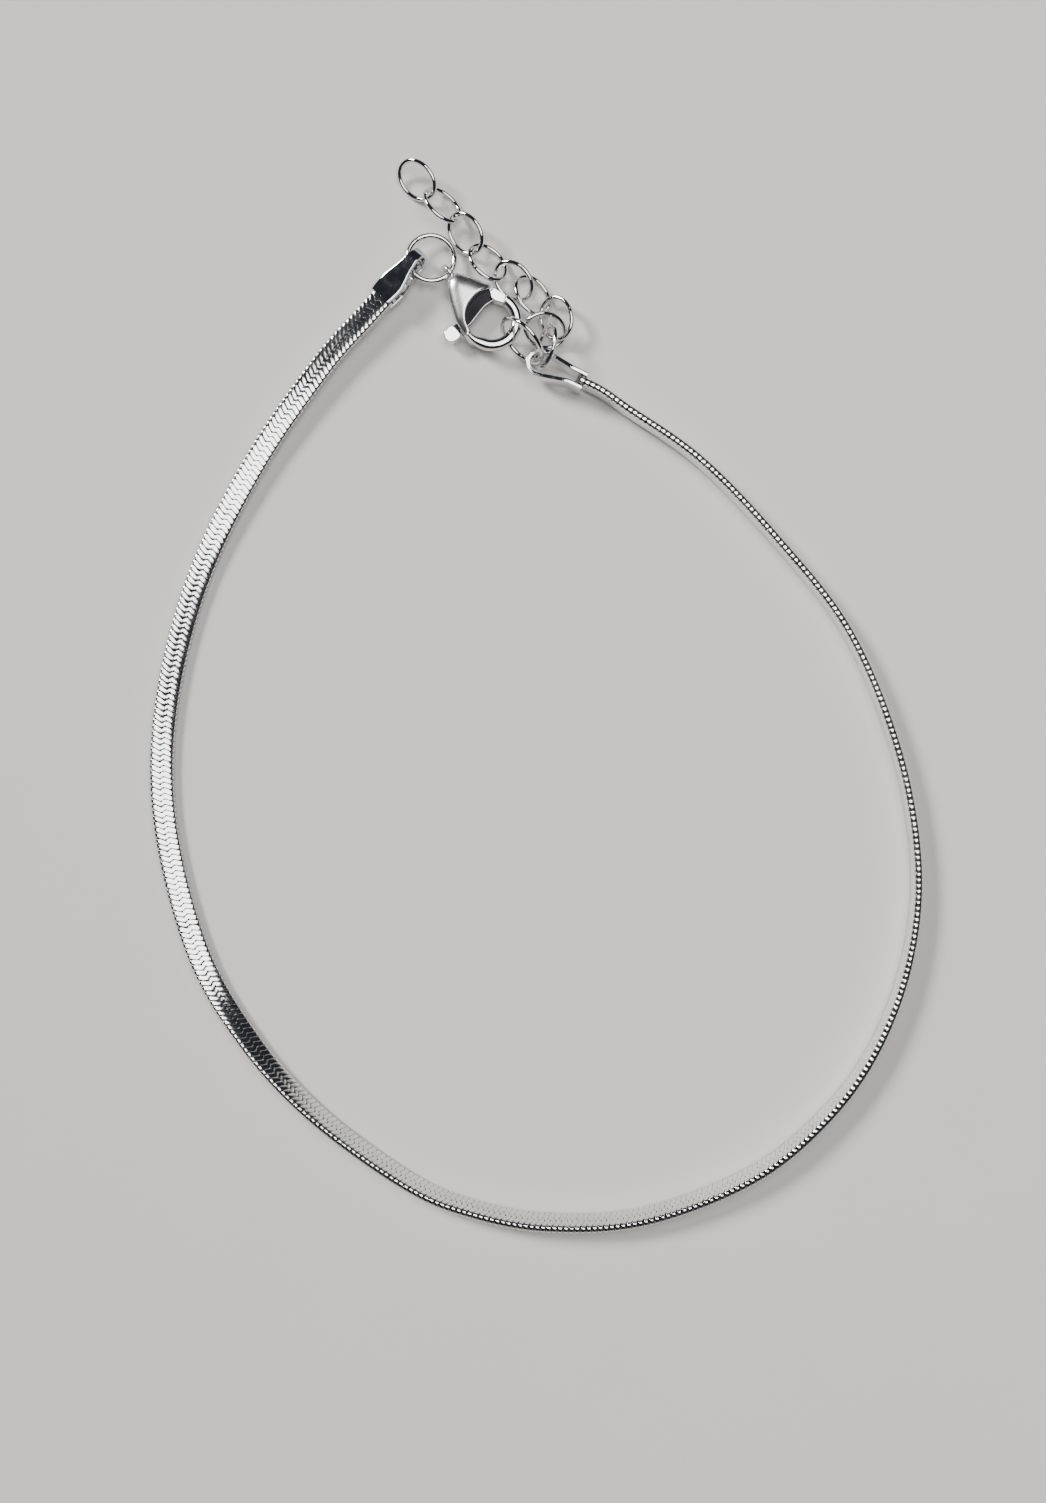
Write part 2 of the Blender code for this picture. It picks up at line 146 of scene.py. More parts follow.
@dataclass(frozen=True)
class Cloud:
    """A cloudy pattern: features in a metre, finer layers, their strength and the levels it shows between."""

    scale: float
    detail: float
    roughness: float
    low: float
    high: float


TONE_CLOUD = Cloud(260.0, 2.0, 0.55, 0.35, 0.68)
SMUDGES = Cloud(900.0, 4.0, 0.62, 0.42, 0.74)
SMUDGE_TARNISH = 0.22
# How far the grooves between the links are darkened: painted shade
GROOVE_PAINTED_SHADE = 0.85
GROOVE_ROUGHNESS = 0.14

# Two sets of hairlines, each with its features in a metre across the lines and its turn in radians
HAIRLINES = ((26000.0, (0.3, 0.2, 0.9)), (17000.0, (-0.5, 0.4, -0.7)))
HAIRLINE_STRETCH = 0.04
HAIRLINE_LEVELS = (0.60, 0.72)


@dataclass
class Value:
    """A number on a node's output, on which sums add Math nodes."""

    desk: NodeDesk
    socket: bpy.types.NodeSocket

    def _maths(self, operation: str, first: object, second: object) -> Value:
        """Adds one Math node on two numbers or values and gives its result."""
        return self.desk.node("ShaderNodeMath", {"operation": operation}, {0: first, 1: second})

    def __add__(self, other: object) -> Value:
        """Adds."""
        return self._maths("ADD", self, other)

    def __radd__(self, other: object) -> Value:
        """Adds to a number."""
        return self._maths("ADD", other, self)

    def __sub__(self, other: object) -> Value:
        """Takes away."""
        return self._maths("SUBTRACT", self, other)

    def __mul__(self, other: object) -> Value:
        """Multiplies."""
        return self._maths("MULTIPLY", self, other)

    def __pow__(self, other: object) -> Value:
        """Raises to a power."""
        return self._maths("POWER", self, other)


@dataclass
class NodeDesk:
    """Adds nodes to one material's tree."""

    tree: bpy.types.NodeTree

    def node(self, kind: str, settings: dict, inputs: dict, output: object = 0) -> Value:
        """Adds any node.

        Args:
            kind: the node's type.
            settings: its properties.
            inputs: socket name or number to a value, number or colour.
            output: name or number of the output wanted.

        Returns:
            That output.
        """
        made = self.tree.nodes.new(kind)
        for name, value in settings.items():
            setattr(made, name, value)
        for name, value in inputs.items():
            if isinstance(value, Value):
                self.tree.links.new(value.socket, made.inputs[name])
            else:
                made.inputs[name].default_value = value
        return Value(self, made.outputs[output])

    def place(self) -> Value:
        """Where a point is on the object, in metres."""
        return self.node("ShaderNodeTexCoord", {}, {}, "Object")

    def noise(self, scale: float, detail: float = 3.0, roughness: float = 0.55) -> Value:
        """Adds a cloudy pattern of about 0 to 1, with so many features in a metre and finer layers."""
        inputs = {"Vector": self.place(), "Scale": scale, "Detail": detail, "Roughness": roughness}
        return self.node("ShaderNodeTexNoise", {}, inputs, 0)

    def cloud(self, kind: Cloud) -> Value:
        """Adds a named cloudy pattern, stretched to 0 to 1."""
        return self.between(self.noise(kind.scale, kind.detail, kind.roughness), kind.low, kind.high)

    def scratches(self, scale: float, turn: Sequence[float]) -> Value:
        """Adds fine hairlines that run one way.

        Args:
            scale: features in a metre across the lines.
            turn: how the lines are turned, in radians about each axis.

        Returns:
            The pattern, near 1 on a line.
        """
        stretch = (scale, scale * HAIRLINE_STRETCH, scale)
        inputs = {"Vector": self.place(), "Rotation": tuple(turn), "Scale": stretch}
        stretched = self.node("ShaderNodeMapping", {}, inputs)
        lines = self.node("ShaderNodeTexNoise", {}, {"Vector": stretched, "Scale": 1.0, "Detail": 2.0})
        return self.between(lines, *HAIRLINE_LEVELS)

    def between(self, value: Value, low: float, high: float) -> Value:
        """Stretches what lies between two levels to 0 to 1."""
        inputs = {"Value": value, "From Min": low, "From Max": high}
        return self.node("ShaderNodeMapRange", {"clamp": True}, inputs)

    def mix(self, share: object, first: object, second: object) -> Value:
        """Mixes two colours by the share of the second."""
        return self.node("ShaderNodeMix", {"data_type": "RGBA"}, {0: share, 6: first, 7: second}, 2)

    def attribute(self, name: str) -> Value:
        """Reads a number kept on the mesh's points."""
        return self.node("ShaderNodeAttribute", {"attribute_name": name}, {}, "Fac")


def colour(red: float, green: float, blue: float) -> Colour:
    """A colour with full cover."""
    return (red, green, blue, 1.0)


@dataclass(frozen=True)
class SilverFinish:
    """Silver with handling marks, fine hairlines, a little tarnish where the polish doesn't reach and painted
    shade in grooves.
    """

    name: str
    base: Colour
    shade: Colour
    tarnish_and_groove_shade: Colour
    smooth: float
    grain_scale: float
    grain_depth: float
    line_depth: float
    worn: float = 0.07
    marks: float = 0.05
    groove: str = ""
    matt: str = ""
    matt_rough: float = 0.0

    def material(self) -> Material:
        """Makes the material.

        Returns:
            The material, with its nodes.
        """
        made = bpy.data.materials.new(self.name)
        made.use_nodes = True
        desk = NodeDesk(made.node_tree)
        shader = made.node_tree.nodes["Principled BSDF"]
        cloud = desk.cloud(TONE_CLOUD)
        smudge = desk.cloud(SMUDGES)
        lines, crossing = (desk.scratches(scale, turn) for scale, turn in HAIRLINES)
        hairlines = (lines + crossing) * 0.5
        tone = desk.mix(cloud, self.base, self.shade)
        rough = self.smooth + smudge * self.worn + hairlines * self.marks
        if self.groove:
            depth = desk.attribute(self.groove)
            # Painted shade: darker towards the dark colour deep in the grooves between the links
            tone = desk.mix(depth**2.0 * GROOVE_PAINTED_SHADE, tone, self.tarnish_and_groove_shade)
            rough = rough + depth * GROOVE_ROUGHNESS
        else:
            tone = desk.mix(smudge * SMUDGE_TARNISH, tone, self.tarnish_and_groove_shade)
        grain = desk.noise(self.grain_scale) * self.grain_depth
        if self.matt:
            share = desk.attribute(self.matt)
            rough = rough + share * self.matt_rough
            grain = grain * share
        height = grain - hairlines * self.line_depth
        bump = desk.node("ShaderNodeBump", {}, {"Height": height, "Strength": 1.0, "Distance": 1.0})
        for name, value in (("Base Color", tone), ("Roughness", rough), ("Normal", bump)):
            made.node_tree.links.new(value.socket, shader.inputs[name])
        shader.inputs["Metallic"].default_value = 1.0
        return made


WOVEN_SILVER = SilverFinish(
    name="woven_silver",
    base=colour(0.88, 0.875, 0.865),
    shade=colour(0.80, 0.795, 0.79),
    # Painted shade: the dark colour that the grooves between the links turn to
    tarnish_and_groove_shade=colour(0.20, 0.185, 0.17),
    smooth=0.10,
    grain_scale=9000.0,
    grain_depth=1.0e-6,
    line_depth=0.4e-6,
    groove="groove",
)
POLISHED_SILVER = SilverFinish(
    name="polished_silver_wire",
    base=colour(0.84, 0.835, 0.825),
    shade=colour(0.76, 0.755, 0.75),
    tarnish_and_groove_shade=colour(0.52, 0.49, 0.46),
    smooth=0.05,
    worn=0.06,
    grain_scale=5200.0,
    grain_depth=1.6e-6,
    line_depth=0.6e-6,
)
CAP_SILVER = SilverFinish(
    name="cap_silver",
    base=colour(0.84, 0.845, 0.855),
    shade=colour(0.72, 0.73, 0.75),
    tarnish_and_groove_shade=colour(0.48, 0.48, 0.49),
    smooth=0.045,
    worn=0.09,
    marks=0.12,
    grain_scale=4200.0,
    grain_depth=1.6e-6,
    line_depth=1.6e-6,
)
SATIN_SILVER = SilverFinish(
    name="satin_silver_cast",
    base=colour(0.82, 0.815, 0.81),
    shade=colour(0.74, 0.735, 0.73),
    tarnish_and_groove_shade=colour(0.50, 0.48, 0.46),
    smooth=0.08,
    grain_scale=11000.0,
    grain_depth=2.5e-6,
    line_depth=0.5e-6,
    matt="satin",
    matt_rough=0.16,
)
# Near-black silver for the lever plate: painted shade where the plate lies in the slot's shadow
SHADED_PLATE_SILVER = SilverFinish(
    name="painted_shade_plate_silver",
    base=colour(0.016, 0.016, 0.018),
    shade=colour(0.008, 0.008, 0.010),
    tarnish_and_groove_shade=colour(0.030, 0.028, 0.026),
    smooth=0.26,
    worn=0.12,
    marks=0.08,
    grain_scale=6000.0,
    grain_depth=2.0e-6,
    line_depth=0.6e-6,
)


@dataclass(frozen=True)
class PlainFinish:
    """A plain dull surface, such as the studio's floor or the dark strip of painted shade inside the weave.
    """

    name: str
    base: Colour
    rough: float
    metallic: float = 0.0
    cloud_scale: float = 120.0
    cloud_detail: float = 4.0
    cloud_shade: float = 0.97

    def material(self) -> Material:
        """Makes the material.

        Returns:
            The material.
        """
        made = bpy.data.materials.new(self.name)
        made.use_nodes = True
        desk = NodeDesk(made.node_tree)
        shader = made.node_tree.nodes["Principled BSDF"]
        darker = colour(*(part * self.cloud_shade for part in self.base[:3]))
        tone = desk.mix(desk.noise(self.cloud_scale, self.cloud_detail), self.base, darker)
        made.node_tree.links.new(tone.socket, shader.inputs["Base Color"])
        shader.inputs["Roughness"].default_value = self.rough
        shader.inputs["Metallic"].default_value = self.metallic
        return made


# A dark strip inside the weave: painted shade for the gaps between the links
PAINTED_SHADE_CORE = PlainFinish("painted_shade_weave_core", colour(0.13, 0.12, 0.11), 0.5, 1.0)
PALE_FLOOR = PlainFinish("pale_floor", colour(0.74, 0.72, 0.69), 0.62)


def smooth_rows(rows: Sequence[Sequence[float]], steps: int, closed: bool = False) -> np.ndarray:
    """Reads a smooth curve through rows of numbers.

    Args:
        rows: the chosen rows.
        steps: how many steps to a span.
        closed: whether the last row joins the first.

    Returns:
        The curve's rows.
    """
    given = np.array(rows, float)
    if closed:
        padded = np.vstack([given[-1:], given, given[:2]])
    else:
        padded = np.vstack([2 * given[:1] - given[1:2], given, 2 * given[-1:] - given[-2:-1]])
    path = []
    for p0, p1, p2, p3 in zip(padded, padded[1:], padded[2:], padded[3:]):
        for t in np.arange(steps) / steps:
            bend = (2 * p0 - 5 * p1 + 4 * p2 - p3) * t**2 + (3 * p1 - p0 - 3 * p2 + p3) * t**3
            path.append(0.5 * (2 * p1 + (p2 - p0) * t + bend))
    if not closed:
        path.append(given[-1])
    return np.array(path)


def unit(rows: np.ndarray) -> np.ndarray:
    """Rows of length one."""
    return rows / np.linalg.norm(rows, axis=-1, keepdims=True)


def circle(count: int) -> np.ndarray:
    """Even points round a circle of radius one."""
    turns = np.arange(count) / count * 2 * math.pi
    return np.stack([np.cos(turns), np.sin(turns)], 1)


def rounded_section(width: float, height: float, power: float, count: int) -> np.ndarray:
    """Outline between an ellipse and a rectangle.

    Args:
        width: its full width.
        height: its full height.
        power: 2 for an ellipse, more for squarer.
        count: how many points.

    Returns:
        Its points, one row each.
    """
    angles = np.arange(count) / count * 2 * math.pi + math.pi / count
    ways = np.stack([np.cos(angles), np.sin(angles)], 1)
    return np.sign(ways) * np.abs(ways) ** (2 / power) * np.array([width, height]) / 2


def strip_section(width: float, height: float, corner: float, steps: int) -> np.ndarray:
    """Outline of a flat strip with small rounded corners.

    Args:
        width: its full width.
        height: its full height.
        corner: the corners' radius.
        steps: how many points a corner has.

    Returns:
        Its points, one row each.
    """
    rows = []
    for quarter, (right, top) in enumerate(((1, 1), (-1, 1), (-1, -1), (1, -1))):
        for share in np.linspace(0.0, 1.0, steps):
            angle = (quarter + share) * math.pi / 2
            x = right * (width / 2 - corner) + corner * math.cos(angle)
            y = top * (height / 2 - corner) + corner * math.sin(angle)
            rows.append((x, y))
    return np.array(rows)


def tube_parts(
    path: np.ndarray,
    side: np.ndarray,
    up: np.ndarray,
    section: np.ndarray,
    scale: np.ndarray,
    closed: bool = False,
) -> tuple[np.ndarray, Faces]:
    """Sweeps a section along a path.

    Args:
        path: the middle line.
        side: the section's first axis at each point.
        up: the section's second axis at each point, or one for all.
        section: the section's points.
        scale: how much its first and second size change at each point.
        closed: whether the path joins up.

    Returns:
        The points and the faces.
    """
    count, around = len(path), len(section)
    up = np.broadcast_to(up, path.shape)
    across = section[None, :, 0:1] * scale[:, None, 0:1] * side[:, None, :]
    along = section[None, :, 1:2] * scale[:, None, 1:2] * up[:, None, :]
    points = (path[:, None, :] + across + along).reshape(-1, 3)
    faces: Faces = []
    for ring in range(count if closed else count - 1):
        first, second = ring * around, (ring + 1) % count * around
        for step in range(around):
            after = (step + 1) % around
            faces.append((first + step, first + after, second + after, second + step))
    if not closed:
        faces.append(tuple(range(around))[::-1])
        faces.append(tuple(range((count - 1) * around, count * around)))
    return points, faces


def new_piece(name: str, points: np.ndarray, faces: Faces, sharp: float = 40.0) -> Piece:
    """Makes one named mesh piece, shaded smooth except at sharp edges.

    Args:
        name: its name.
        points: its points in metres.
        faces: its faces.
        sharp: the angle in degrees from which an edge stays sharp.

    Returns:
        The piece.
    """
    mesh = bpy.data.meshes.new(name)
    mesh.from_pydata([tuple(point) for point in points], [], faces)
    shape = bmesh.new()
    shape.from_mesh(mesh)
    bmesh.ops.recalc_face_normals(shape, faces=shape.faces)
    shape.to_mesh(mesh)
    shape.free()
    mesh.shade_smooth()
    mesh.set_sharp_from_angle(angle=math.radians(sharp))
    piece = bpy.data.objects.new(name, mesh)
    bpy.context.scene.collection.objects.link(piece)
    return piece


def points_of(piece: Piece) -> np.ndarray:
    """A piece's points, one row each."""
    return np.array([tuple(point.co) for point in piece.data.vertices])


def keep_on_points(piece: Piece, name: str, values: np.ndarray) -> None:
    """Keeps a number for each of a piece's points on its mesh, for its finish to read."""
    kept = piece.data.attributes.new(name, "FLOAT", "POINT")
    kept.data.foreach_set("value", values.astype(np.float32))


def dress(
    piece: Piece,
    material: Material,
    nodes: Sequence[str] = (),
    body: Body = Body.BRACELET,
) -> None:
    """Gives a piece its finish, hangs it on what it rides on and hides the solids that it replaces.

    Args:
        piece: the piece.
        material: its finish.
        nodes: the solids that it replaces.
        body: what it rides on.
    """
    piece.data.materials.clear()
    piece.data.materials.append(material)
    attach(piece, body.value)
    if nodes:
        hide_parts(*nodes)
    log.info("%s: %d faces", piece.name, len(piece.data.polygons))


@dataclass
class Route:
    """The band's route, read by its length from the left cap to the right one."""

    rows: Sequence[Sequence[float]]
    width: float = 1.8 * MM
    thickness: float = 0.6 * MM
    steps: int = 40
    little: float = 0.1 * MM
    fine: np.ndarray = field(init=False)
    lengths: np.ndarray = field(init=False)

    def __post_init__(self) -> None:
        """Works out the fine rows of places along the route."""
        self.fine = smooth_rows(self.rows, self.steps)
        spans = np.linalg.norm(np.diff(self.fine[:, :2], axis=0), axis=1) * MM
        self.lengths = np.concatenate([[0.0], np.cumsum(spans)])

    @property
    def length(self) -> float:
        """The band's whole length."""
        return float(self.lengths[-1])

    def columns(self, lengths: np.ndarray, count: int) -> list[np.ndarray]:
        """Reads the route's first columns at places along it."""
        return [np.interp(lengths, self.lengths, self.fine[:, k]) for k in range(count)]

    def at(self, lengths: np.ndarray) -> tuple[np.ndarray, np.ndarray, np.ndarray, np.ndarray]:
        """Reads the band's frame at places along it.

        Args:
            lengths: how far along, in metres.

        Returns:
            The middle, the way along, the way to the inner edge and the wide face's outward way.
        """
        x, y, lean, lift = self.columns(lengths, 4)
        lean = np.radians(lean)
        high = lift * MM + self.width / 2 * np.sin(lean) + self.thickness / 2 * np.cos(lean)
        middle = np.stack([x * MM, y * MM, high], -1)
        ahead = self.columns(lengths + self.little, 2)
        behind = self.columns(lengths - self.little, 2)
        along = unit(np.stack([ahead[0] - behind[0], ahead[1] - behind[1], np.zeros_like(x)], -1))
        inward = np.stack([-along[..., 1], along[..., 0], np.zeros_like(x)], -1)
        to_edge = inward * np.cos(lean)[..., None] - UP * np.sin(lean)[..., None]
        face = inward * np.sin(lean)[..., None] + UP * np.cos(lean)[..., None]
        return middle, along, to_edge, face


@dataclass
class HerringboneChain:
    """The woven band: flat links bent in an S across it, each hooked round both edges."""

    route: Route
    pitch: float = 0.418 * MM
    strip_width: float = 0.41 * MM
    strip_thickness: float = 0.24 * MM
    strip_corner: float = 0.045 * MM
    corner_steps: int = 4
    edge_radius: float = 0.11 * MM
    edge_narrowing: float = 0.74
    front_places: Sequence[float] = (-0.96, -0.6, -0.26, -0.14, 0.0, 0.14, 0.26, 0.6, 0.96)
    back_places: Sequence[float] = (0.96, 0.4, 0.0, -0.4, -0.96)
    edge_turns: Sequence[float] = (1.3, 0.75, 0.15)
    wobble: float = math.radians(1.2)
    width_spread: float = 0.01
    seeds: tuple[int, int] = (7, 8)
    outer_slope: float = 30.0
    step_slope: float = -42.0
    inner_slope: float = 25.0
    step_half: float = 0.13 * MM
    end_clear: float = 0.30 * MM
    sharp: float = 75.0
    core_width: float = 1.5 * MM
    core_thickness: float = 0.10 * MM
    core_section: Rounding = (6.0, 8)

    def places(self) -> np.ndarray:
        """Where the links lie along the band."""
        return np.arange(self.end_clear, self.route.length - self.end_clear, self.pitch)

    def drift(self, across: np.ndarray) -> np.ndarray:
        """How far along the band a link's strip lies at a place across it.

        Args:
            across: the place, from the outer edge below zero to the inner edge.

        Returns:
            The distance along the band from the link's middle.
        """
        outer = np.minimum(across + self.step_half, 0.0) * math.tan(math.radians(self.outer_slope))
        inner = np.maximum(across - self.step_half, 0.0) * math.tan(math.radians(self.inner_slope))
        step = np.clip(across, -self.step_half, self.step_half) * math.tan(math.radians(self.step_slope))
        return outer + inner + step

    def loop(self) -> tuple[np.ndarray, np.ndarray, np.ndarray, np.ndarray]:
        """A link's middle line seen along the band.

        Returns:
            Place across, height over the band's middle, outward turn and width share at each point.
        """
        half = self.route.width / 2 - self.strip_thickness / 2
        rise = self.route.thickness / 2 - self.strip_thickness / 2
        radius, narrow, quarter = self.edge_radius, self.edge_narrowing, math.pi / 2
        flat, low = half - radius, rise - radius
        front = [(share * flat, rise, quarter, 1.0) for share in self.front_places]
        turns = [(turn, low) for turn in self.edge_turns]
        turns += [(-turn, -low) for turn in self.edge_turns[::-1]]
        edge = [(flat + radius * math.cos(t), z + radius * math.sin(t), t) for t, z in turns]
        inner_end = [(x, z, t, narrow) for x, z, t in edge]
        back = [(share * flat, -rise, -quarter, 1.0) for share in self.back_places]
        outer_end = [(-x, -z, math.pi + t, narrow) for x, z, t in edge]
        rows = np.array(front + inner_end + back + outer_end)
        return rows[:, 0], rows[:, 1], rows[:, 2], rows[:, 3]

    def links(self, name: str, places: np.ndarray, seed: int) -> Piece:
        """Builds one stretch's links as one piece.

        Args:
            name: the piece's name.
            places: where the links lie along the band.
            seed: what its small irregularities start from.

        Returns:
            The piece, with how deep each point lies in a groove kept on it.
        """
        across, height, turn, share = self.loop()
        chance = np.random.default_rng(seed)
        section = strip_section(self.strip_width, self.strip_thickness, self.strip_corner, self.corner_steps)
        groove_of = np.clip((self.strip_thickness / 2 - section[:, 1]) / self.strip_corner, 0, 1)
        points, faces, grooves = [], [], []
        for number, place in enumerate(places):
            where = place + self.drift(across)
            inside = np.clip(where, 0, self.route.length)
            middle, along, to_edge, face = self.route.at(inside)
            middle = middle + along * (where - inside)[:, None]
            path = middle + to_edge * across[:, None] + face * height[:, None]
            tangent = unit(np.roll(path, -1, 0) - np.roll(path, 1, 0))
            out = to_edge * np.cos(turn)[:, None] + face * np.sin(turn)[:, None]
            side = unit(np.cross(tangent, out))
            tip = chance.normal(0, self.wobble)
            roll = math.cos(tip) * side + math.sin(tip) * out
            out = math.cos(tip) * out - math.sin(tip) * side
            slant = np.abs((side * along).sum(1)) * share * (1 + chance.normal(0, self.width_spread))
            scale = np.stack([slant, np.ones_like(slant)], 1)
            made, quads = tube_parts(path, roll, out, section, scale, closed=True)
            base = number * len(made)
            points.append(made)
            faces += [tuple(index + base for index in quad) for quad in quads]
            grooves.append(np.tile(groove_of, len(path)))
        piece = new_piece(name, np.concatenate(points), faces, self.sharp)
        keep_on_points(piece, "groove", np.concatenate(grooves))
        return piece

    def core(self) -> Piece:
        """Builds a dark strip inside the weave, painted shade for the gaps where the links pass through each
        other.

        Returns:
            The piece.
        """
        places = self.places()
        middle, _, to_edge, face = self.route.at(places)
        section = rounded_section(self.core_width, self.core_thickness, *self.core_section)
        return new_piece("painted_shade_weave_core", *tube_parts(middle, to_edge, face, section, np.ones((len(places), 2))))

    def build(self) -> None:
        """Builds and dresses the band."""
        woven = WOVEN_SILVER.material()
        first, second = np.array_split(self.places(), 2)
        left = self.links("herringbone_links_left", first, self.seeds[0])
        right = self.links("herringbone_links_right", second, self.seeds[1])
        dress(left, woven, ["herringbone_chain"])
        dress(right, woven)
        # The dark core is painted shade inside the weave
        dress(self.core(), PAINTED_SHADE_CORE.material())


@dataclass
class EndCap:
    """A strip folded round a loop, its two ends clamping the band's end."""

    name: str
    node: str
    route: Route
    place: float
    outward: float
    strip: float = 0.33 * MM
    length: float = 4.7 * MM
    loop_radius: float = 1.11 * MM
    jaw_length: float = 1.0 * MM
    bend_share: float = 0.12
    width: float = 1.9 * MM
    fit: float = 0.06 * MM
    jaw_steps: int = 6
    arm_steps: int = 14
    loop_steps: int = 34
    taper_steps: int = 12
    section: Rounding = (9.0, 28)
    sharp: float = 60.0
    taper: Pairs = (
        (0.00, 0.90), (0.10, 0.97), (0.26, 1.00), (0.40, 0.88), (0.54, 0.69), (0.72, 0.53),
        (0.88, 0.45), (1.00, 0.43),
    )

    def middle_line(self) -> np.ndarray:
        """The strip's middle line seen from its edge, from one jaw round the loop to the other.

        Returns:
            Its points: how far out from the band's end, and how far to the side.
        """
        jaw = self.route.thickness / 2 + self.fit + self.strip / 2
        radius = self.loop_radius - self.strip / 2
        loop_x = self.length - self.jaw_length - self.loop_radius
        bend_x = self.bend_share * self.jaw_length
        reach = math.hypot(loop_x - bend_x, jaw)
        tangent = math.atan2(jaw, bend_x - loop_x) - math.acos(radius / reach)
        start = np.array([loop_x + radius * math.cos(tangent), radius * math.sin(tangent)])
        arm = [np.array([x, jaw]) for x in np.linspace(-self.jaw_length, bend_x, self.jaw_steps)]
        shares = np.linspace(0, 1, self.arm_steps)[1:]
        arm += [np.array([bend_x, jaw]) * (1 - share) + start * share for share in shares]
        turns = np.linspace(tangent, -tangent, self.loop_steps)[1:-1]
        loop = [np.array([loop_x + radius * math.cos(t), radius * math.sin(t)]) for t in turns]
        back = [np.array([point[0], -point[1]]) for point in arm[::-1]]
        return np.array(arm + loop + back)

    def build(self, material: Material) -> None:
        """Builds and dresses the cap.

        Args:
            material: its finish.
        """
        middle, along, to_edge, _ = self.route.at(np.array([self.place]))
        forward = along[0] * self.outward
        level = np.cross(to_edge[0], forward)
        line = self.middle_line()
        path = middle[0] + line[:, 0:1] * forward + line[:, 1:2] * level
        tangent = unit(np.gradient(path, axis=0))
        side = np.tile(to_edge[0], (len(path), 1))
        out = unit(np.cross(tangent, side))
        shares = (line[:, 0] + self.jaw_length) / self.length
        columns = smooth_rows(self.taper, self.taper_steps)
        widths = np.interp(shares, columns[:, 0], columns[:, 1])
        section = rounded_section(self.width, self.strip, *self.section)
        scale = np.stack([widths, np.ones_like(widths)], 1)
        piece = new_piece(self.name, *tube_parts(path, side, out, section, scale), self.sharp)
        dress(piece, material, [self.node])


@dataclass
class WireRing:
    """A wire ring or oval link with a fine seam where its ends meet, with its numbers as in RINGS."""

    name: str
    size: Sequence[float]
    centre: Sequence[float]
    turn: Sequence[float]
    seam_angle: float
    seam: float = 0.012 * MM
    seam_narrowing: float = 0.93
    around: int = 72
    sides: int = 14
    sharp: float = 50.0

    def build(self, material: Material) -> None:
        """Builds and dresses the ring.

        Args:
            material: its finish.
        """
        length, width, wire = (part * MM for part in self.size)
        half = self.seam / length
        angles = np.linspace(self.seam_angle + half, self.seam_angle + 2 * math.pi - half, self.around + 1)
        rx, ry = (length - wire) / 2, (width - wire) / 2
        level = np.zeros_like(angles)
        flat = np.stack([rx * np.cos(angles), ry * np.sin(angles), level], 1)
        tangent = unit(np.stack([-rx * np.sin(angles), ry * np.cos(angles), level], 1))
        section = rounded_section(wire, wire, 2.0, self.sides)
        scale = np.ones((len(angles), 2))
        scale[[0, -1]] = self.seam_narrowing
        points, faces = tube_parts(flat, np.cross(tangent, UP), UP, section, scale)
        place = np.array(Euler([math.radians(part) for part in self.turn], "XYZ").to_matrix())
        points = points @ place.T + np.array(self.centre) * MM
        piece = new_piece(self.name + "_wire", points, faces, self.sharp)
        dress(piece, material, [self.name])


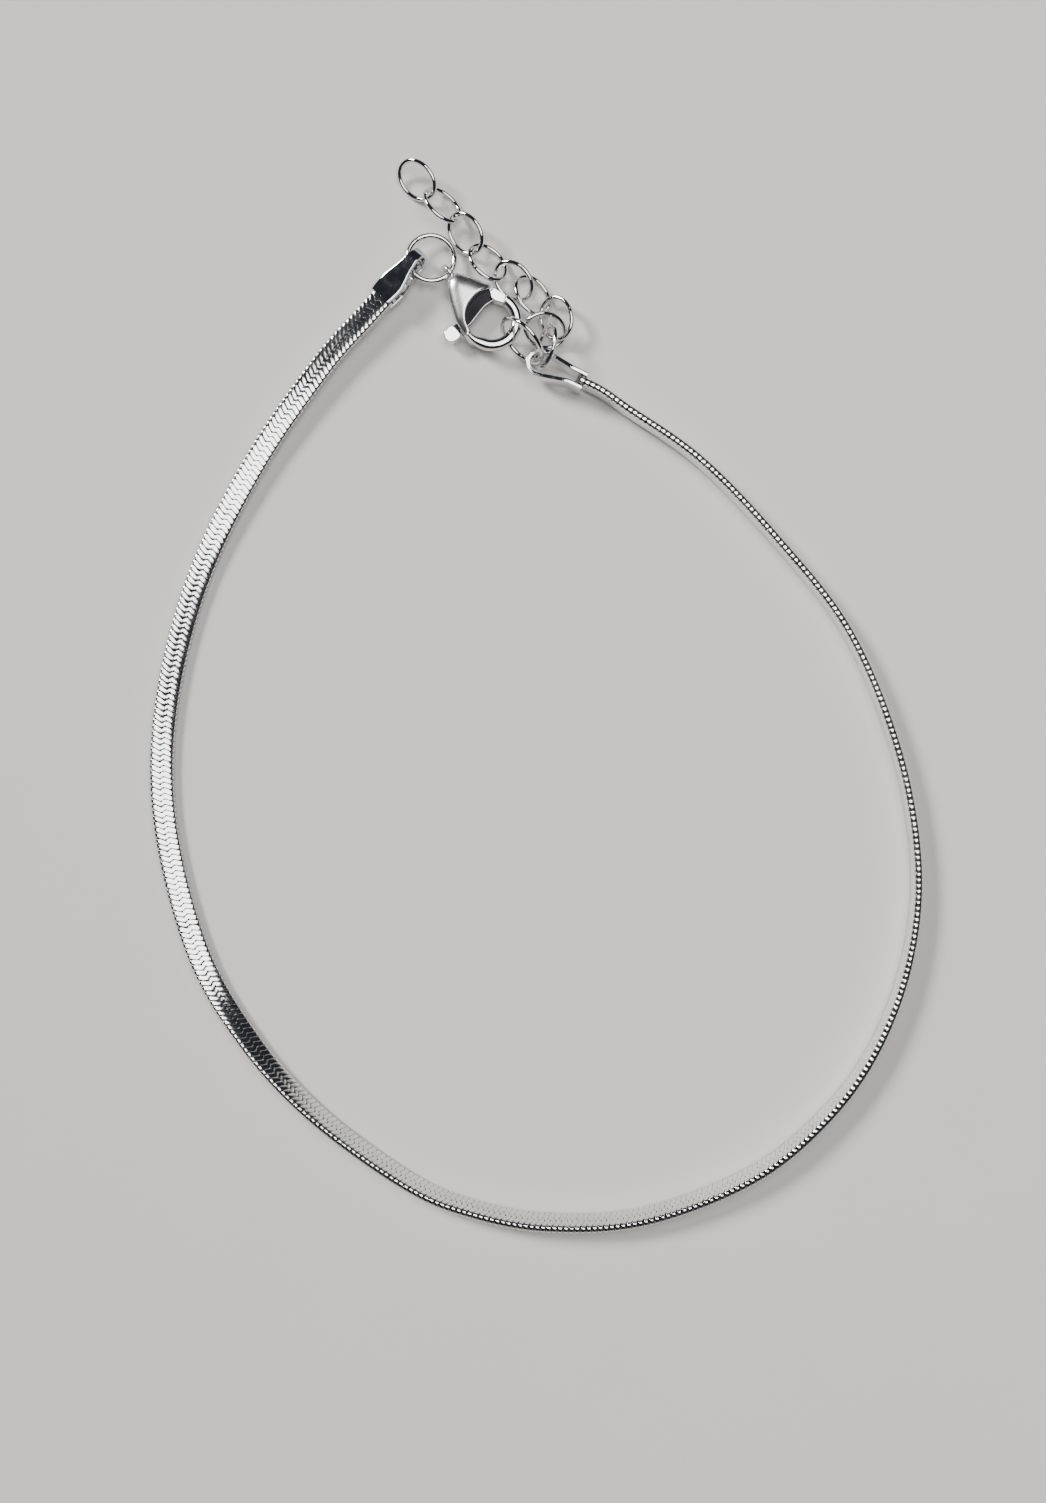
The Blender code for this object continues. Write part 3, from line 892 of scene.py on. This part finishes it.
@dataclass
class LobsterClasp:
    """The lobster clasp: domed shell, hook, eyelet, pin, and the lever with its gate and thumb tab.

    Its own frame has the hook's middle at the origin and the eyelet on +X. The outlines are in mm.
    """

    centre: Vector = field(default_factory=lambda: Vector((-3.13, 27.61, 1.0)) * MM)
    heading: float = math.radians(130.8)
    shell_half: float = 1.0 * MM
    slot_half: float = 0.31 * MM
    slot_span: tuple[float, float] = (0.62 * MM, 3.5 * MM)
    slot_reach: float = 3.0 * MM
    dome_reach: float = 1.1 * MM
    dome_edge: float = 0.18
    flank_half: float = 0.36 * MM
    outline_steps: int = 5
    inner_arc: tuple[int, int] = (12, 18)
    voxel: float = 0.05 * MM
    shell_relax: int = 8
    body_relax: int = 12
    body_sharp: float = math.radians(50.0)
    satin_start: float = -0.7 * MM
    satin_spread: float = 0.9 * MM
    satin_setback: float = 2.0 * MM
    hook_inner: float = 1.42 * MM
    hook_outer: float = 2.28 * MM
    hook_thickness: float = 0.9 * MM
    hook_rise: float = 0.46 * MM
    hook_section: Rounding = (2.5, 28)
    hook_steps: int = 60
    hook_sharp: float = 50.0
    hook_growth: float = math.radians(40.0)
    hook_start_share: float = 0.58
    hook_angles: tuple[float, float] = (math.radians(80.0), math.radians(303.5))
    pin: tuple[float, float] = (2.66 * MM, -0.36 * MM)
    pin_radius: float = 0.3 * MM
    pin_inset: float = 0.28 * MM
    pin_steps: int = 32
    pin_bevel: Rounding = (0.06 * MM, 3)
    swing_steps: int = 64
    gate_play: float = 0.06 * MM
    rim_wire: float = 0.09 * MM
    rim_sink: float = 0.3
    rim_start: int = 11
    rim_steps: int = 8
    rim_section: Rounding = (2.0, 12)
    rim_sharp: float = 60.0
    plate_thickness: float = 0.5 * MM
    plate_steps: int = 3
    plate_bevel: Rounding = (0.05 * MM, 2)
    gate_thickness: float = 0.98 * MM
    gate_rise: float = 0.2 * MM
    gate_reach: float = 2.52 * MM
    gate_tip_angles: tuple[float, float] = (math.radians(206.0), math.radians(223.0))
    gate_tip_steps: int = 6
    gate_bevel: Rounding = (0.09 * MM, 3)
    tab_thickness: float = 0.8 * MM
    tab_steps: int = 5
    tab_bevel: Rounding = (0.09 * MM, 4)
    plate_sharp: float = 30.0
    bevel_angle: float = math.radians(35.0)
    eyelet_diameter: float = 1.5 * MM
    eyelet_wire: float = 0.36 * MM
    eyelet_depth: float = 1.1
    eyelet_section: Rounding = (2.4, 16)
    eyelet_steps: int = 48
    eyelet_offset: float = 4.98 * MM
    shell_outline: Pairs = (
        (-0.35, 2.26), (0.45, 2.33), (1.25, 2.24), (2.10, 2.00), (3.75, 1.16), (4.30, 0.72),
        (4.52, 0.36), (4.52, -0.20), (4.30, -0.48), (3.40, -1.03), (2.28, -1.62), (2.10, -1.66),
        (1.92, -1.40), (2.14, -0.85), (2.20, -0.20), (2.04, 0.55), (1.60, 1.25), (0.95, 1.66),
        (0.20, 1.74), (-0.30, 1.62),
    )
    plate_outline: Pairs = (
        (0.95, -1.62), (1.95, -1.42), (2.60, -1.12), (3.12, -0.80), (3.32, -0.36), (3.12, 0.08),
        (2.50, 0.62), (1.92, 1.32), (1.66, 2.10), (1.62, 2.75), (1.05, 2.75), (1.02, 1.95),
        (0.98, 1.30), (1.12, 0.60), (1.28, -0.30), (1.20, -1.05),
    )
    gate_outline: Pairs = (
        (1.30, -1.88), (1.80, -1.74), (1.74, -1.28), (1.40, -1.04), (1.00, -1.10),
    )
    tab_outline: Pairs = (
        (0.78, 2.44), (1.62, 2.42), (1.82, 2.76), (1.68, 3.30), (1.26, 3.54), (0.82, 3.38),
        (0.64, 2.88),
    )

    def plate(self, name: str, outline: np.ndarray, low: float, high: float) -> Piece:
        """Builds a flat piece from its outline.

        Args:
            name: its name.
            outline: its outline in the clasp's frame.
            low: the height of its underside.
            high: the height of its top.

        Returns:
            The piece, still in the clasp's own frame.
        """
        count = len(outline)
        bottom = np.column_stack([outline, np.full(count, low)])
        top = np.column_stack([outline, np.full(count, high)])
        faces: Faces = [tuple(range(count))[::-1], tuple(range(count, 2 * count))]
        for index in range(count):
            after = (index + 1) % count
            faces.append((index, after, count + after, count + index))
        return new_piece(name, np.vstack([bottom, top]), faces, self.plate_sharp)

    def settle(self, piece: Piece) -> Piece:
        """Moves a piece's mesh from the clasp's own frame to its place."""
        piece.data.transform(Matrix.Translation(self.centre) @ Matrix.Rotation(self.heading, 4, "Z"))
        return piece

    def rounded_plate(
        self, name: str, outline: np.ndarray, low: float, high: float, bevel: Rounding
    ) -> Piece:
        """Builds a flat piece with rounded edges at its place.

        Args:
            name: its name.
            outline: its outline in the clasp's frame.
            low: the height of its underside.
            high: the height of its top.
            bevel: how wide the rounding is and how many faces it has.

        Returns:
            The piece.
        """
        piece = self.plate(name, outline, low, high)
        rounding = piece.modifiers.new("rounded_edges", "BEVEL")
        rounding.width, rounding.segments = bevel
        rounding.limit_method = "ANGLE"
        rounding.angle_limit = self.bevel_angle
        rounding.harden_normals = True
        return self.settle(piece)

    @staticmethod
    def apply_steps(piece: Piece) -> None:
        """Makes a piece's modifiers part of its mesh.

        Args:
            piece: the piece.
        """
        bpy.context.view_layer.update()
        done = bpy.data.meshes.new_from_object(piece.evaluated_get(bpy.context.evaluated_depsgraph_get()))
        piece.modifiers.clear()
        piece.data = done

    def cut(self, piece: Piece, tool: Piece) -> None:
        """Cuts one piece out of another and removes it.

        Args:
            piece: what is cut.
            tool: what cuts it.
        """
        step = piece.modifiers.new("cut", "BOOLEAN")
        step.operation = "DIFFERENCE"
        step.solver = "EXACT"
        step.object = tool
        self.apply_steps(piece)
        bpy.data.objects.remove(tool, do_unlink=True)

    def even_faces(self, piece: Piece) -> None:
        """Gives a piece small even faces and makes what crosses in it one body.

        Args:
            piece: the piece.
        """
        piece.data.transform(Matrix.Scale(1 / MM, 4))
        remesh = piece.modifiers.new("even_faces", "REMESH")
        remesh.mode = "VOXEL"
        remesh.voxel_size = self.voxel / MM
        self.apply_steps(piece)
        piece.data.transform(Matrix.Scale(MM, 4))

    def relax(self, piece: Piece, times: int) -> None:
        """Smooths a piece's faces.

        Args:
            piece: the piece.
            times: how many times.
        """
        relax = piece.modifiers.new("relax", "SMOOTH")
        relax.factor = 0.5
        relax.iterations = times
        self.apply_steps(piece)

    def cast_body(self) -> Piece:
        """Builds the shell, hook and eyelet as one cast body with a slot for the lever.

        Returns:
            The body, with how satin each point is kept on it.
        """
        outline = smooth_rows(self.shell_outline, self.outline_steps, True) * MM
        body = self.plate("clasp_shell", outline, -self.shell_half, self.shell_half)
        self.even_faces(body)
        self.dome(body, outline)
        self.relax(body, self.shell_relax)
        joined = bmesh.new()
        for part in (body, self.hook(), self.eyelet()):
            joined.from_mesh(part.data)
            if part is not body:
                bpy.data.objects.remove(part, do_unlink=True)
        joined.to_mesh(body.data)
        joined.free()
        self.even_faces(body)
        self.relax(body, self.body_relax)
        (near, far), reach = self.slot_span, self.slot_reach
        slot = np.array([(near, -reach), (far, -reach), (far, reach), (near, reach)])
        self.cut(body, self.plate("slot_tool", slot, -self.slot_half, self.slot_half))
        body.data.shade_smooth()
        body.data.set_sharp_from_angle(angle=self.body_sharp)
        x, y, _ = points_of(body).T
        past = x - self.satin_start - self.satin_setback * (y < 0)
        keep_on_points(body, "satin", np.clip(past / self.satin_spread, 0, 1))
        return self.settle(body)

    def dome(self, shell: Piece, outline: np.ndarray) -> None:
        """Lowers the shell's faces towards its outer rim.

        Args:
            shell: the evenly meshed shell.
            outline: its outline.
        """
        points = points_of(shell)
        ways = np.roll(outline, -1, 0) - outline
        arc_start, arc_end = (row * self.outline_steps for row in self.inner_arc)
        rim = np.full(len(points), 1.0)
        for number, (start, way) in enumerate(zip(outline, ways)):
            if arc_start <= number < arc_end:
                continue
            share = np.clip(((points[:, :2] - start) @ way) / (way @ way), 0, 1)
            rim = np.minimum(rim, np.linalg.norm(points[:, :2] - start - share[:, None] * way, axis=1))
        reach = np.clip(rim / self.dome_reach, 0, 1)
        rise = self.dome_edge + (1 - self.dome_edge) * np.sqrt(1 - (1 - reach) ** 2)
        flat, high = self.flank_half, np.abs(points[:, 2])
        lowered = np.sign(points[:, 2]) * (flat + (high - flat) * rise)
        points[:, 2] = np.where(high > flat, lowered, points[:, 2])
        shell.data.vertices.foreach_set("co", points.ravel())
        shell.data.update()

    def hook(self) -> Piece:
        """Builds the hook, from the left arm round the far side to its blunt nose.

        Returns:
            The hook, still in the clasp's own frame.
        """
        angles = np.linspace(*self.hook_angles, self.hook_steps)
        full = self.hook_outer - self.hook_inner
        growth = np.clip((angles - self.hook_angles[0]) / self.hook_growth, 0, 1)
        ease = growth**2 * (3 - 2 * growth)
        shares = self.hook_start_share + (1 - self.hook_start_share) * ease
        side = np.stack([np.cos(angles), np.sin(angles), np.zeros_like(angles)], 1)
        path = side * (self.hook_outer - full * shares / 2)[:, None] + UP * self.hook_rise
        section = rounded_section(full, self.hook_thickness, *self.hook_section)
        scale = np.stack([shares, np.ones_like(shares)], 1)
        hook = new_piece("clasp_hook", *tube_parts(path, side, UP, section, scale), self.hook_sharp)
        swing = circle(self.swing_steps) * (self.gate_reach + self.gate_play) + np.array(self.pin)
        self.cut(hook, self.plate("swing_tool", swing, -2 * self.shell_half, 2 * self.shell_half))
        return hook

    def eyelet(self) -> Piece:
        """Builds the eyelet that stands at the apex.

        Returns:
            The eyelet, still in the clasp's own frame.
        """
        ways = circle(self.eyelet_steps)
        side = np.stack([ways[:, 0], np.zeros(len(ways)), ways[:, 1]], 1)
        wire = self.eyelet_wire
        path = side * (self.eyelet_diameter - wire) / 2
        path[:, 0] += self.eyelet_offset
        section = rounded_section(wire, wire * self.eyelet_depth, *self.eyelet_section)
        across = np.array([0.0, 1.0, 0.0])
        parts = tube_parts(path, side, across, section, np.ones((len(path), 2)), closed=True)
        return new_piece("clasp_eyelet", *parts)

    def rim(self) -> Piece:
        """Builds the bright rolled rim along the lever plate's inner edge.

        Returns:
            The rim, at its place.
        """
        rows = [*self.plate_outline[self.rim_start :], self.plate_outline[0]]
        flat = smooth_rows(rows, self.rim_steps) * MM
        high = self.plate_thickness / 2 - self.rim_wire * self.rim_sink
        path = np.column_stack([flat, np.full(len(flat), high)])
        tangent = unit(np.gradient(path, axis=0))
        section = rounded_section(self.rim_wire, self.rim_wire, *self.rim_section)
        parts = tube_parts(path, np.cross(tangent, UP), UP, section, np.ones((len(path), 2)))
        return self.settle(new_piece("lever_rim", *parts, self.rim_sharp))

    def lever(self) -> list[Piece]:
        """Builds the lever.

        Returns:
            Its plate, gate, thumb tab and rim, at their place.
        """
        half = self.plate_thickness / 2
        outline = smooth_rows(self.plate_outline, self.plate_steps, True) * MM
        plate = self.rounded_plate("lever_plate", outline, -half, half, self.plate_bevel)
        turns = np.linspace(*self.gate_tip_angles, self.gate_tip_steps)
        tip = np.stack([np.cos(turns), np.sin(turns)], 1) * self.gate_reach + np.array(self.pin)
        outline = np.vstack([tip, np.array(self.gate_outline) * MM])
        low = self.gate_rise - self.gate_thickness / 2
        gate = self.rounded_plate("lever_gate", outline, low, low + self.gate_thickness, self.gate_bevel)
        half = self.tab_thickness / 2
        outline = smooth_rows(self.tab_outline, self.tab_steps, True) * MM
        tab = self.rounded_plate("thumb_tab", outline, -half, half, self.tab_bevel)
        return [plate, gate, tab, self.rim()]

    def pin_piece(self) -> Piece:
        """Builds the pin, whose ends lie hidden under the shell.

        Returns:
            The pin, at its place.
        """
        outline = circle(self.pin_steps) * self.pin_radius + np.array(self.pin)
        high = self.shell_half - self.pin_inset
        return self.rounded_plate("hinge_pin", outline, -high, high, self.pin_bevel)

    def build(self, satin: Material, polished: Material) -> None:
        """Builds and dresses the clasp.

        Args:
            satin: the cast shell's finish.
            polished: the finish of what is polished.
        """
        dress(self.cast_body(), satin, ["clasp_body"])
        dress(self.pin_piece(), polished, ["clasp_pin"])
        plate, *others = self.lever()
        # The lever plate gets the near-black silver: painted shade
        dress(plate, SHADED_PLATE_SILVER.material(), ["clasp_lever"], body=Body.LEVER)
        for piece in others:
            dress(piece, polished, body=Body.LEVER)


@dataclass(frozen=True)
class Light:
    """One light that faces the bracelet.

    Its power is in watts, or for a far light in watts on a square metre. Its spread is the softbox's
    width, or for a far light how wide it looks in radians.
    """

    name: str
    kind: LightKind
    place: tuple[float, float, float]
    power: float
    tint: tuple[float, float, float]
    spread: float

    def hang(self) -> None:
        """Adds the light."""
        light = bpy.data.lights.new(self.name, self.kind.value)
        if self.kind is LightKind.SOFTBOX:
            light.shape = "DISK"
            light.size = self.spread
        else:
            light.angle = self.spread
        light.energy = self.power
        light.color = self.tint
        holder = bpy.data.objects.new(self.name, light)
        holder.location = self.place
        holder.rotation_euler = (-Vector(self.place)).to_track_quat("-Z", "Y").to_euler()
        bpy.context.scene.collection.objects.link(holder)


LIGHTS = (
    Light("overhead_softbox", LightKind.SOFTBOX, (0.04, 0.035, 0.35), 0.95, (1.0, 1.0, 1.0), 0.28),
    Light("key_light", LightKind.FAR, (-0.28, 0.19, 0.25), 3.5, (1.0, 0.985, 0.96), math.radians(16.0)),
)


@dataclass
class Studio:
    """The pale floor, the dim room, soft light from the upper left and a camera nearly straight above."""

    target: Vector = field(default_factory=lambda: Vector((-0.82, -4.59, 0.6)) * MM)
    distance: float = 130.6 * MM
    elevation: float = math.radians(88.0)
    focal_pixels: float = 1750.0
    floor_size: float = 3.0
    pale_wall: tuple[float, float, float] = (0.42, 0.415, 0.405)
    dim_room: tuple[float, float, float] = (0.022, 0.024, 0.032)
    wall_top: float = 0.07
    room_start: float = 0.16

    def floor(self) -> None:
        """Lays the floor."""
        half = self.floor_size / 2
        corners = np.array([(-1, -1, 0), (1, -1, 0), (1, 1, 0), (-1, 1, 0)]) * half
        piece = new_piece("floor", corners, [(0, 1, 2, 3)])
        piece.data.materials.append(PALE_FLOOR.material())

    def room(self) -> None:
        """Sets a dim room with a pale low wall all round, which the silver mirrors as dark and pale bands."""
        world = bpy.data.worlds.new("studio")
        bpy.context.scene.world = world
        world.use_nodes = True
        desk = NodeDesk(world.node_tree)
        way = desk.node("ShaderNodeTexCoord", {}, {}, "Generated")
        high = desk.node("ShaderNodeSeparateXYZ", {}, {0: way}, "Z")
        pale, dim = self.pale_wall, self.dim_room
        shade = desk.node("ShaderNodeValToRGB", {}, {0: high})
        stops = shade.socket.node.color_ramp.elements
        for place in (self.wall_top, self.room_start):
            stops.new(place)
        for stop, tint in zip(stops, (pale, pale, dim, dim)):
            stop.color = (*tint, 1.0)
        back = world.node_tree.nodes["Background"]
        world.node_tree.links.new(shade.socket, back.inputs["Color"])
        back.inputs["Strength"].default_value = 1.0

    def camera(self) -> None:
        """Sets the camera at the photograph's angle."""
        data = bpy.data.cameras.new("camera")
        data.sensor_width = 36.0
        data.lens = self.focal_pixels / max(IMAGE_SIZE) * data.sensor_width
        data.clip_start, data.clip_end = 0.005, 20.0
        holder = bpy.data.objects.new("camera", data)
        back = Vector((0.0, -math.cos(self.elevation), math.sin(self.elevation)))
        holder.location = self.target + back * self.distance
        holder.rotation_euler = (-back).to_track_quat("-Z", "Y").to_euler()
        bpy.context.scene.collection.objects.link(holder)
        bpy.context.scene.camera = holder

    def build(self) -> None:
        """Sets the whole studio."""
        self.floor()
        self.room()
        for light in LIGHTS:
            light.hang()
        self.camera()


def main() -> None:
    """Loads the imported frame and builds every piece."""
    logging.basicConfig(level=logging.INFO, format="%(name)s: %(message)s")
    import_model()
    Studio().build()

    polished = POLISHED_SILVER.material()
    cap_silver = CAP_SILVER.material()
    satin = SATIN_SILVER.material()
    route = Route(CHAIN_ROUTE)
    HerringboneChain(route).build()
    EndCap("left_cap_strip", "left_end_cap", route, 0.0, -1.0).build(cap_silver)
    EndCap("right_cap_strip", "right_end_cap", route, route.length, 1.0).build(cap_silver)
    for ring in RINGS:
        WireRing(*ring).build(polished)
    for number, (x, y, z, heading, pitch, roll) in enumerate(LINK_POSES, 1):
        name = f"extension_link_{number}"
        WireRing(name, LINK_SIZE, (x, y, z), (roll, pitch, heading), LINK_SEAM).build(polished)
    LobsterClasp().build(satin, polished)

    bpy.context.view_layer.update()


if __name__ == "__main__":
    main()
